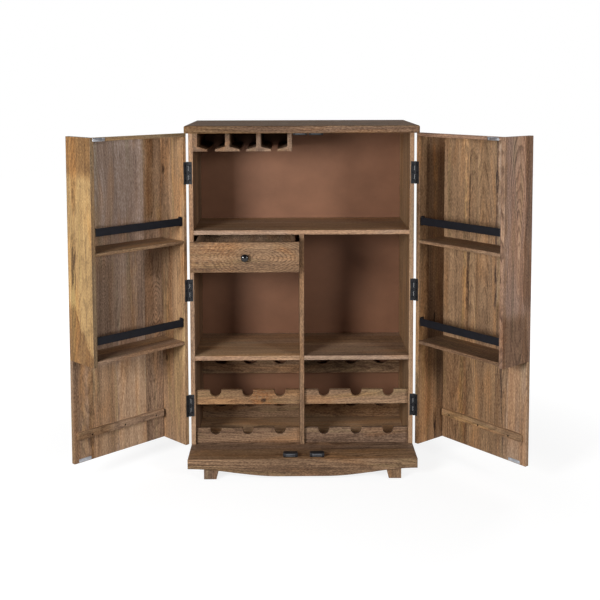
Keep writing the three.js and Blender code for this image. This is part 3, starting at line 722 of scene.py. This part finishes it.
wood_board("top_board", X_AXIS, Y_AXIS, seed=3, figure=0.9, tone=0.51, grey=-0.3, gloss=0.02,
           pale=(*TOP_BOARD_EDGE, 0.44, 0.42))
# The base board is paler inside the bays: partly its own colour, partly painted light that lifts the shade
# the bottle rails cast on it
wood_board("base_board", X_AXIS, Y_AXIS, seed=5, figure=1.3, tone=0.44, grey=0.2, spacing=1.5,
           pale=(*BASE_INSIDE_PAINTED_LIGHT, 0.74, 0.2))
wood_board("front_apron", X_AXIS, Z_AXIS, seed=7, figure=1.2, tone=0.52, grey=0.3, spacing=1.5,
           typical=SINGLE_PLANK)
# The left shelf's light tone is partly its own colour and partly painted light on its top
for node, seed, tone in (("upper_shelf", 11, 0.66), ("left_shelf", 13, 0.72), ("right_shelf", 17, 0.62)):
    wood_board(node, X_AXIS, Y_AXIS, seed, figure=0.6, tone=tone, grey=0.3, pale=(*FRONT_EDGE, 0.68, 0.6))
wood_board("left_side_panel", Z_AXIS, Y_AXIS, seed=19, figure=0.6, tone=0.42, grey=0.25,
           turned=(*LEFT_RUNNER, *ALONG_Y), pale=(*FRONT_EDGE, 0.62, 0.35))
wood_board("right_side_panel", Z_AXIS, Y_AXIS, seed=23, figure=0.6, tone=0.54, grey=0.05,
           pale=(*FRONT_EDGE, 0.66, 0.3))
wood_board("divider", Z_AXIS, Y_AXIS, seed=29, figure=0.6, tone=0.50, grey=0.3,
           turned=(*DIVIDER_RUNNER, *ALONG_Y), pale=(*FRONT_EDGE, 0.55, 0.2))
for i in range(4):
    wood_board(f"glass_rail_{i + 1}", Y_AXIS, X_AXIS, seed=31 + i, figure=0.4, tone=0.50, grey=0.4,
               typical=SINGLE_PLANK)

bottle_rail_looks = {
    "left_lower_front": {"tone": 0.48, "grey": 0.35},
    "left_upper_front": {"tone": 0.56, "grey": 0.1, "eyes": ((0.063, 0.016, 1.2, 0.03, 0.009),),
                         "curl": (0.02, 0.10, 0.3, 0.6)},
    "left_lower_rear": {"tone": 0.65, "grey": 0.1},
    "left_upper_rear": {"tone": 0.55, "grey": 0.2},
    "right_lower_front": {"tone": 0.50, "grey": 0.4},
    "right_upper_front": {"tone": 0.55, "grey": 0.25},
    "right_lower_rear": {"tone": 0.60, "grey": 0.1},
    "right_upper_rear": {"tone": 0.50, "grey": 0.25},
}
for i, (place, looks) in enumerate(bottle_rail_looks.items()):
    wood_board(f"{place}_bottle_rail", X_AXIS, Z_AXIS, seed=41 + i, figure=0.9, typical=SINGLE_PLANK,
               **looks)
for i, row in enumerate(("front", "rear")):
    for j, side_name in enumerate(doors):
        wood_board(f"{row}_{side_name}_foot", Z_AXIS, X_AXIS, seed=53 + 2 * i + j, figure=0.6, tone=0.40,
                   grey=0.3, typical=SINGLE_PLANK, glide=True)

drawer_front_looks = {
    "planks": ((0.15, 0.39, 0.05), (1.0, 0.49, 0.1)),
    "eyes": ((0.062, 0.058, 2.3, 0.17, 0.0),),
    "marks": (((0.10, 0.10), (0.21, 0.07), 0.02, 0.3, -0.03, 0.35),),
    "curl": (-0.24, -0.03, 0.38, 0.25),
}
wood_board("drawer_front", X_AXIS, Z_AXIS, seed=61, figure=0.6, **drawer_front_looks)
wood_board("drawer_box", Y_AXIS, Z_AXIS, seed=63, figure=0.5, tone=0.48, grey=0.35, typical=SINGLE_PLANK,
           turned=(*DRAWER_BACK, *ALONG_X))
wood_board("drawer_bottom", X_AXIS, Y_AXIS, seed=65, figure=0.5, tone=0.5, grey=0.35)

# Boards of the doors, with places in metres

CLEAT_FIGURE_HEIGHT = 0.12
door_looks = {
    "left": {
        "front_panel": {
            "planks": ((0.235, 0.61, 0.4), (0.543, 0.75, 0.75), (0.80, 0.72, 0.65), (1.0, 0.57, 0.35)),
            "eyes": ((0.10, 0.30, 2.6, 0.07, 0.0), (-0.07, 0.05, 3.0, 0.06, 0.0)),
            "marks": (
                ((0.25, 0.235), (0.75, 0.235), 0.128, 0.95, -0.11, -0.3),
                ((0.22, 0.16), (-0.22, 0.16), 0.018, 0.8, -0.06, 0.3),
                ((0.75, 0.075), (0.27, 0.075), 0.028, 0.3, 0.10, 0.3),
                ((0.17, 0.30), (-0.22, 0.30), 0.05, 0.7, 0.06, 0.1),
                ((-0.75, 0.172), (-0.24, 0.172), 0.068, 0.95, -0.03, 0.4),
                ((-0.75, 0.31), (-0.24, 0.31), 0.07, 0.9, 0.06, 0.4),
                ((-0.16, 0.126), (0.20, 0.126), 0.026, 0.8, 0.15, 0.1),
                ((-0.75, 0.055), (-0.20, 0.055), 0.05, 0.9, 0.06, 0.0),
                ((0.25, 0.055), (0.75, 0.055), 0.05, 0.9, 0.0, 0.2),
                ((-0.63, 0.40), (0.0, 0.41), 0.018, 0.2, -0.1, 0.3),
                ((-0.633, 0.33), (-0.1, 0.34), 0.012, 0.2, 0.12, 0.0),
            ),
        },
        "hinge_side": {
            "tone": 0.65,
            "grey": 0.05,
            "eyes": ((0.49, 0.126, 2.2, 0.05, 0.008), (-0.526, 0.134, 2.0, 0.04, 0.009),
                     (-0.286, 0.118, 2.4, 0.03, 0.006)),
            "marks": (
                ((0.0, 0.01), (0.6, 0.012), 0.02, 0.2, -0.06, 0.2),
                ((-0.17, 0.05), (0.22, 0.05), 0.055, 0.8, 0.09, 0.0),
                ((0.25, 0.115), (0.70, 0.115), 0.03, 0.6, 0.12, 0.0),
            ),
        },
        "free_side": {
            "tone": 0.77,
            "grey": -0.12,
            "figure": 0.8,
            "tint": (0.97, 1.02, 0.86),
            "marks": (
                ((0.30, 0.116), (0.12, 0.112), 0.019, 0.3, 0.26, 0.0),
                ((0.14, 0.114), (0.04, 0.112), 0.006, 0.2, 0.16, 0.0),
                ((0.08, 0.118), (-0.17, 0.124), 0.0245, 0.3, 0.36, 0.1),
                ((-0.19, 0.2), (-0.52, 0.035), 0.086, 0.9, 0.22, 0.3),
                ((-0.20, 0.128), (-0.42, 0.0), 0.008, 0.2, 0.14, 0.2),
                ((0.26, 0.08), (0.55, 0.08), 0.13, 0.9, 0.21, 0.3),
            ),
        },
        "free_edge": (0.52, 0.5),
        "shelf": {"tone": 0.58, "grey": 0.25},
    },
    "right": {
        "front_panel": {
            "planks": ((0.338, 0.64, 0.1), (0.43, 0.61, 0.1), (0.66, 0.63, 0.15), (0.80, 0.60, 0.25),
                       (1.0, 0.64, 0.2)),
            "marks": (
                ((0.64, 0.291), (-0.06, 0.289), 0.007, 0.3, 0.34, -0.7),
                ((0.63, 0.305), (-0.04, 0.303), 0.012, 0.4, -0.19, -0.4),
                ((-0.2, 0.318), (-0.63, 0.335), 0.007, 0.3, 0.22, -0.3),
                ((0.66, 0.139), (0.25, 0.137), 0.018, 0.5, -0.21, 0.25),
                ((0.20, 0.128), (-0.12, 0.130), 0.012, 0.4, -0.16, 0.2),
                ((0.19, 0.149), (-0.17, 0.147), 0.010, 0.4, 0.26, -0.1),
                ((0.64, 0.02), (-0.20, 0.02), 0.05, 0.4, 0.05, 0.0),
                ((0.64, 0.225), (0.26, 0.225), 0.03, 0.3, 0.05, 0.1),
                ((0.50, 0.154), (0.22, 0.152), 0.004, 0.3, 0.24, 0.0),
                ((-0.25, 0.137), (-0.55, 0.137), 0.012, 0.3, -0.08, 0.2),
                ((-0.20, 0.13), (-0.75, 0.13), 0.20, 0.9, 0.05, 0.1),
                ((-0.20, 0.075), (-0.75, 0.075), 0.078, 0.9, 0.11, 0.1),
                ((-0.20, 0.40), (-0.75, 0.40), 0.046, 0.95, -0.13, -0.25),
            ),
        },
        "hinge_side": {
            "tone": 0.39,
            "grey": 0.0,
            "marks": (
                ((-0.75, 0.02), (0.75, 0.02), 0.03, 0.5, -0.15, 0.0),
                ((-0.75, 0.06), (-0.2, 0.05), 0.06, 0.4, -0.16, 0.3),
                ((0.30, 0.09), (0.62, 0.09), 0.02, 0.2, -0.12, 0.5),
                ((-0.48, 0.098), (-0.64, 0.100), 0.009, 0.3, 0.5, 0.0),
                ((-0.09, 0.088), (-0.15, 0.088), 0.006, 0.3, 0.4, 0.0),
            ),
        },
        "free_side": {
            "tone": 0.72,
            "grey": 0.6,
            "figure": 1.5,
            "spacing": 1.15,
            "tint": (1.04, 0.99, 1.04),
            "eyes": ((-0.055, 0.085, 8.0, 0.16, 0.0),),
            "marks": (
                ((0.53, 0.146), (-0.25, 0.142), 0.026, 0.8, 0.21, 0.3),
                ((-0.21, 0.146), (-0.53, 0.142), 0.026, 0.5, 0.06, 0.3),
                # This lighter, neutral streak at the oval's middle is a painted highlight
                ((0.06, 0.095), (-0.09, 0.09), 0.020, 0.2, -0.07, 0.0),
                ((0.53, 0.005), (-0.53, 0.008), 0.014, 0.4, 0.08, 0.4),
                ((-0.22, 0.06), (-0.57, 0.06), 0.085, 0.9, 0.18, 0.5),
            ),
        },
        "free_edge": (0.66, 0.35),
        "shelf": {"tone": 0.46, "grey": 0.2},
    },
}
for i, (side_name, door) in enumerate(doors.items()):
    corner, u, v = door["corner"], door["u"], door["v"]
    looks = door_looks[side_name]
    cleat = (-v, -v.dot(corner) - (PANEL_FACE - CLEAT_SKIN) * MM)
    head_strip = (-u, -u.dot(corner) - (DOOR_WIDTH - BOARD - HEAD_STRIP_GAP) * MM)
    wood_board(f"{side_name}_door_front_panel", Z_AXIS, u, seed=71 + i, figure=1.0,
               turned=(*cleat, u, Z_AXIS, corner + Z_AXIS * CLEAT_FIGURE_HEIGHT),
               outer=(v, v.dot(corner) + (DOOR_DEPTH - BOARD / 2) * MM), **looks["front_panel"])
    wood_board(f"{side_name}_door_hinge_side", Z_AXIS, v, seed=81 + i, figure=0.7, typical=DOOR_SIDE_PLANK,
               **looks["hinge_side"])
    wood_board(f"{side_name}_door_free_side", Z_AXIS, v, seed=91 + i, typical=SINGLE_PLANK,
               turned=(*head_strip, u, Z_AXIS, corner),
               pale=(-v, -v.dot(corner) - EDGE_SKIN * MM, *looks["free_edge"]), **looks["free_side"])
    for j, level in enumerate(("lower", "upper")):
        wood_board(f"{side_name}_door_{level}_shelf", u, v, seed=101 + 2 * i + j, figure=0.6,
                   **looks["shelf"])
        dress(f"{side_name}_door_{level}_guard_bar", metals["black_bar"])
    for height in ("lower", "middle", "upper"):
        for part in ("carcass", "door"):
            dress(f"{side_name}_{height}_hinge_{part}_leaf", metals["black_iron"])
dress("back_panel", back_material("back_board"))

# Small pieces in mesh code, in millimetres until a matrix takes them to their place


def circle(radius, steps):
    angles = [2 * math.pi * i / steps for i in range(steps)]
    return [(radius * math.cos(angle), radius * math.sin(angle)) for angle in angles]


def loop(bm, matrix, outline, y):
    """Vertices along an outline in x and z."""
    return [bm.verts.new(matrix @ Vector((x, y, z))) for x, z in outline]


def rounded_outline(width, height, radius, steps=5):
    points = []
    for i, (right, up) in enumerate(((-1, -1), (1, -1), (1, 1), (-1, 1))):
        for step in range(steps + 1):
            angle = math.pi + (i + step / steps) * math.pi / 2
            points.append((right * (width / 2 - radius) + radius * math.cos(angle),
                           up * (height / 2 - radius) + radius * math.sin(angle)))
    return points


def walls(bm, first, second):
    """Faces between two loops of as many vertices each."""
    faces = []
    for i in range(len(first)):
        j = (i + 1) % len(first)
        faces.append(bm.faces.new((first[i], first[j], second[j], second[i])))
    return faces


def prism(bm, outline, low, high, matrix, ease, steps=2):
    """Outline in x and z, extruded along y from low to high, its two rims eased."""
    angles = [step / steps * math.pi / 2 for step in range(steps + 1)]
    eased = [(ease * (1 - math.cos(angle)), ease * (1 - math.sin(angle))) for angle in angles]
    levels = [(low + depth, inset) for depth, inset in eased]
    levels += [(high - depth, inset) for depth, inset in reversed(eased)]
    width = max(x for x, z in outline) - min(x for x, z in outline)
    height = max(z for x, z in outline) - min(z for x, z in outline)
    loops = []
    for y, inset in levels:
        x_share, z_share = 1 - 2 * inset / width, 1 - 2 * inset / height
        loops.append(loop(bm, matrix, [(x * x_share, z * z_share) for x, z in outline], y))
    faces = [bm.faces.new(loops[0]), bm.faces.new(loops[-1])]
    for first, second in zip(loops, loops[1:]):
        faces += walls(bm, first, second)
    return faces


def lathe(bm, profile, matrix, steps):
    """Profile of radius and height turned about y; the height runs towards -y."""
    loops = []
    for radius, height in profile:
        outline = circle(radius, steps) if radius else [(0, 0)]
        loops.append(loop(bm, matrix, outline, -height))
    for first, second in zip(loops, loops[1:]):
        for i in range(steps):
            j = (i + 1) % steps
            corners = [ring[k % len(ring)] for ring, k in ((first, i), (first, j), (second, j), (second, i))]
            bm.faces.new(list(dict.fromkeys(corners)))
    for ring in (loops[0], loops[-1]):
        if len(ring) > 1:
            bm.faces.new(ring)


def screw_head(bm, matrix, radius=SCREW_RADIUS, proud=SCREW_PROUD, depth=SCREW_DEPTH, looks=(0, 1)):
    """Head with a cross recess, seen from -y; looks are the material slots of the head and the recess.

    Its face stands proud of the matrix's origin, and the recess goes to a depth under the face.
    """
    arm, slot = radius * CROSS_ARM_SHARE, radius * CROSS_SLOT_SHARE
    cross = []
    for i in range(4):
        cos, sin = math.cos(i * math.pi / 2), math.sin(i * math.pi / 2)
        for x, z in ((slot, -slot), (arm, -slot), (arm, slot)):
            cross.append((x * cos - z * sin, x * sin + z * cos))
    rim = loop(bm, matrix, circle(radius, SCREW_SIDES), 0)
    face_rim = loop(bm, matrix, circle(radius * FACE_SHARE, SCREW_SIDES), -proud)
    top = loop(bm, matrix, cross, -proud)
    floor = loop(bm, matrix, cross, depth - proud)
    foot = loop(bm, matrix, circle(radius, SCREW_SIDES), depth + SCREW_FLOOR)
    head = walls(bm, foot, rim) + walls(bm, rim, face_rim) + [bm.faces.new(foot)]
    recess = [bm.faces.new(floor)] + walls(bm, top, floor)
    edges = []
    for ring in (face_rim, top):
        edges += [bm.edges.get(ends) for ends in zip(ring, ring[1:] + ring[:1])]
    filled = bmesh.ops.triangle_fill(bm, edges=edges, use_beauty=True)
    head += [made for made in filled["geom"] if isinstance(made, bmesh.types.BMFace)]
    for faces, look in zip((head, recess), looks):
        for face in faces:
            face.material_index = look


def mesh_piece(name, bm, looks, body, smooth=SMOOTH_ANGLE):
    bmesh.ops.recalc_face_normals(bm, faces=bm.faces)
    mesh = bpy.data.meshes.new(name)
    bm.to_mesh(mesh)
    bm.free()
    piece = bpy.data.objects.new(name, mesh)
    bpy.context.scene.collection.objects.link(piece)
    for look in looks:
        mesh.materials.append(metals[look])
    mesh.polygons.foreach_set("use_smooth", [True] * len(mesh.polygons))
    mesh.set_sharp_from_angle(angle=math.radians(smooth))
    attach(piece, body)
    return piece


def moved(x, y, z):
    return Matrix.Translation(Vector((x, y, z)))


def hinge_screws(side_name, part, body):
    """Three screws in each leaf of one kind, on the carcass or on the door."""
    pin = doors[side_name]["pin"] / MM
    bm = bmesh.new()
    for height in HINGE_HEIGHTS:
        for share in (-1, 0, 1):
            z = height + share * LEAF_HOLE_PITCH
            if part == "carcass":
                x = pin.x - doors[side_name]["sign"] * LEAF_HOLE_PLACE
                place = TO_METRES @ moved(x, pin.y + LEAF_FACE, z)
            else:
                u, v = LEAF_HOLE_PLACE - PIN_OFFSET, -LEAF_FACE - LEAF_THICKNESS
                place = door_matrix(side_name) @ moved(u, v, z)
            screw_head(bm, place)
    mesh_piece(f"{side_name}_{part}_hinge_screws", bm, ("black_screw", "black_screw"), body)


def strike(side_name, name, u, v, z):
    """Plate for a catch, with two screws."""
    to_rest = door_matrix(side_name)
    bm = bmesh.new()
    outline = rounded_outline(*STRIKE_SIZE, STRIKE_CORNER)
    prism(bm, outline, v - STRIKE_THICKNESS, v + PLATE_SEAT, to_rest @ moved(u, 0, z), STRIKE_EASE)
    for share in (-1, 1):
        place = moved(u + share * STRIKE_SCREW_SPAN, v - STRIKE_THICKNESS, z)
        screw_head(bm, to_rest @ place, depth=STRIKE_SCREW_DEPTH)
    body = f"{side_name}_door"
    mesh_piece(f"{side_name}_{name}_strike", bm, ("bright_steel", "dark_steel"), body)


def guard_bar_bolts(side_name):
    """An end plate with two domed bolts at each end of both guard bars."""
    dome = [(BOLT_RADIUS, -BOLT_FOOT)]
    dome += [(BOLT_RADIUS * math.cos(angle), BOLT_HEIGHT * math.sin(angle)) for angle in BOLT_ANGLES]
    dome.append((0, BOLT_HEIGHT))
    bm = bmesh.new()
    for floor in BAR_FLOORS:
        for seat, inward in ((BAR_SEAT, 1), (DOOR_WIDTH - BAR_SEAT, -1)):
            turn = Matrix.Rotation(inward * math.pi / 2, 4, "Z")
            place = moved(seat + inward * BAR_THICKNESS, TAB_PLACE, floor + BAR_HEIGHT / 2) @ turn
            plate = door_matrix(side_name) @ place
            prism(bm, rounded_outline(*TAB_SIZE, TAB_CORNER), -TAB_THICKNESS, PLATE_SEAT, plate, TAB_EASE)
            for share in (-1, 1):
                lathe(bm, dome, plate @ moved(0, -TAB_THICKNESS, share * BOLT_SPAN), BOLT_SIDES)
    mesh_piece(f"{side_name}_guard_bar_bolts", bm, ("black_bar",), f"{side_name}_door")


def cleat_screws(side_name):
    """Screws at the bottom of the cleat's holes."""
    bm = bmesh.new()
    for u in CLEAT_SCREWS:
        place = door_matrix(side_name) @ moved(u, CLEAT_SCREW_V, CLEAT_SCREW_HEIGHT)
        screw_head(bm, place, CLEAT_SCREW_RADIUS, depth=CLEAT_SCREW_DEPTH)
    body = f"{side_name}_door"
    mesh_piece(f"{side_name}_cleat_screws", bm, ("black_screw", "black_screw"), body)


def catch(name):
    """Rounded body, two steel poles and a screw at each end."""
    low, high = (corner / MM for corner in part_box(name))
    face = low.y + POLE_PROUD
    middle = (low + high) / 2
    bm = bmesh.new()
    outline = rounded_outline(high.x - low.x, high.z - low.z, CATCH_CORNER, CATCH_CORNER_STEPS)
    prism(bm, outline, face, high.y, TO_METRES @ moved(middle.x, 0, middle.z), CATCH_EDGE, CATCH_EDGE_STEPS)
    strip = rounded_outline(*POLE_SIZE, POLE_CORNER, POLE_CORNER_STEPS)
    for up in (-1, 1):
        place = TO_METRES @ moved(middle.x, 0, middle.z + up * POLE_SPACING / 2)
        for pole_face in prism(bm, strip, low.y, face + POLE_DEPTH, place, POLE_EASE):
            pole_face.material_index = 1
    for share in (-1, 1):
        place = TO_METRES @ moved(middle.x + share * CATCH_SCREW_SPAN, face + CATCH_SCREW_SUNK, middle.z)
        screw_head(bm, place, CATCH_SCREW_RADIUS, CATCH_SCREW_PROUD, CATCH_SCREW_DEPTH, looks=(2, 0))
    looks = ("black_plastic", "pole_steel", "dark_steel")
    piece = mesh_piece(f"{name}_detailed", bm, looks, "carcass")
    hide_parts(name)


def turned_knob():
    """Turned knob: a foot that draws in to a neck, and a round head."""
    low, high = (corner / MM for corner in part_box("drawer_knob"))
    reach = high.y - low.y
    radius = (high.x - low.x) / 2
    middle = KNOB_MIDDLE_SHARE * reach
    profile = [*KNOB_FOOT, *KNOB_NECK]
    start, end = KNOB_ARC
    for i in range(KNOB_ARC_STEPS):
        angle = start + i / KNOB_ARC_STEPS * (end - start)
        profile.append((radius * math.cos(angle), middle + (reach - middle) * math.sin(angle)))
    profile.append((0, reach))
    bm = bmesh.new()
    lathe(bm, profile, TO_METRES @ moved((low.x + high.x) / 2, high.y, (low.z + high.z) / 2), KNOB_SIDES)
    knob = mesh_piece("knob_turned", bm, ("black_gloss",), "drawer", KNOB_SMOOTH_ANGLE)
    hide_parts("drawer_knob")


for side_name in doors:
    for part, body in (("carcass", "carcass"), ("door", f"{side_name}_door")):
        hinge_screws(side_name, part, body)
for side_name, places in STRIKE_PLACES.items():
    for name, place in places.items():
        strike(side_name, name, *place)
for side_name in doors:
    guard_bar_bolts(side_name)
for side_name in doors:
    cleat_screws(side_name)
for name in ("left_base_catch", "right_base_catch", "left_top_catch", "right_top_catch"):
    catch(name)
turned_knob()

# Floor: a grey that takes shadows, with a glow for the camera and for reflections, whiter further away

floor_mesh = bpy.data.meshes.new("floor")
corners = [(x * FLOOR_HALF, y * FLOOR_HALF, -FLOOR_DROP) for x, y in ((-1, -1), (1, -1), (1, 1), (-1, 1))]
floor_mesh.from_pydata(corners, [], [(0, 1, 2, 3)])
floor = bpy.data.objects.new("floor", floor_mesh)
bpy.context.scene.collection.objects.link(floor)
material, s = new_material("floor_white")
rays = s.node("ShaderNodeLightPath").outputs
reflected = s.math("MAXIMUM", rays["Is Glossy Ray"], rays["Is Transmission Ray"])
seen = s.math("MAXIMUM", rays["Is Camera Ray"], reflected)
diffuse = s.node("ShaderNodeBsdfDiffuse", {"Color": (FLOOR_TONE, FLOOR_TONE, FLOOR_TONE, 1)}).outputs[0]
shine = s.multiply(seen, s.step(s.vector("LENGTH", s.rest_place()), *FLOOR_GLOW_REACH, *FLOOR_GLOW))
glow = s.node("ShaderNodeEmission", {"Color": opaque(WHITE), "Strength": shine}).outputs[0]
both = s.node("ShaderNodeAddShader", {0: diffuse, 1: glow}).outputs[0]
s.node("ShaderNodeOutputMaterial", {"Surface": both})
floor_mesh.materials.append(material)

# World: weak light on the cabinet, and a white backdrop that reflections show towards the rear only

scene = bpy.context.scene
world = bpy.data.worlds.new("studio")
scene.world = world
world.use_nodes = True
world.node_tree.nodes.clear()
s = Shader(world.node_tree)
rays = s.node("ShaderNodeLightPath").outputs
reflected = s.math("MAXIMUM", rays["Is Glossy Ray"], rays["Is Transmission Ray"])
direction = s.node("ShaderNodeTexCoord").outputs["Generated"]
rearward = s.step(s.node("ShaderNodeSeparateXYZ", {0: direction}).outputs["Y"], *BACKDROP_TURN)
seen = s.math("MAXIMUM", rays["Is Camera Ray"], s.multiply(reflected, rearward))
level = s.add(WORLD_STRENGTH, s.multiply(seen, BACKDROP_STRENGTH - WORLD_STRENGTH))
backdrop = s.node("ShaderNodeBackground", {"Color": opaque(WHITE), "Strength": level}).outputs[0]
s.node("ShaderNodeOutputWorld", {"Surface": backdrop})

for name, lamp in LAMPS.items():
    data = bpy.data.lights.new(name, "AREA")
    data.shape = "SQUARE"
    data.size = lamp["size"]
    towards = lamp["place"] - LIGHT_TARGET
    data.energy = math.pi ** 2 * towards.length_squared * lamp["level"]
    light = bpy.data.objects.new(name, data)
    light.location = lamp["place"]
    light.rotation_euler = towards.to_track_quat("Z", "Y").to_euler()
    scene.collection.objects.link(light)

# Camera

yaw, pitch, roll = (math.radians(angle) for angle in (CAMERA_YAW, CAMERA_PITCH, CAMERA_ROLL))
forward = Vector((math.sin(yaw) * math.cos(pitch), math.cos(yaw) * math.cos(pitch), -math.sin(pitch)))
right = Vector((math.cos(yaw), -math.sin(yaw), 0))
up = right.cross(forward)
tilted_right = right * math.cos(roll) + up * math.sin(roll)
tilted_up = up * math.cos(roll) - right * math.sin(roll)
camera_data = bpy.data.cameras.new("photo_camera")
camera_data.sensor_width = SENSOR_WIDTH
camera_data.lens = FOCAL_PIXELS / IMAGE_SIZE * SENSOR_WIDTH
camera_data.shift_y = FRAME_SHIFT
camera = bpy.data.objects.new("photo_camera", camera_data)
scene.collection.objects.link(camera)
rotation = Matrix((tilted_right, tilted_up, -forward)).transposed().to_4x4()
camera.matrix_world = Matrix.Translation(CAMERA_PLACE) @ rotation
scene.camera = camera

scene.view_settings.view_transform = "Standard"
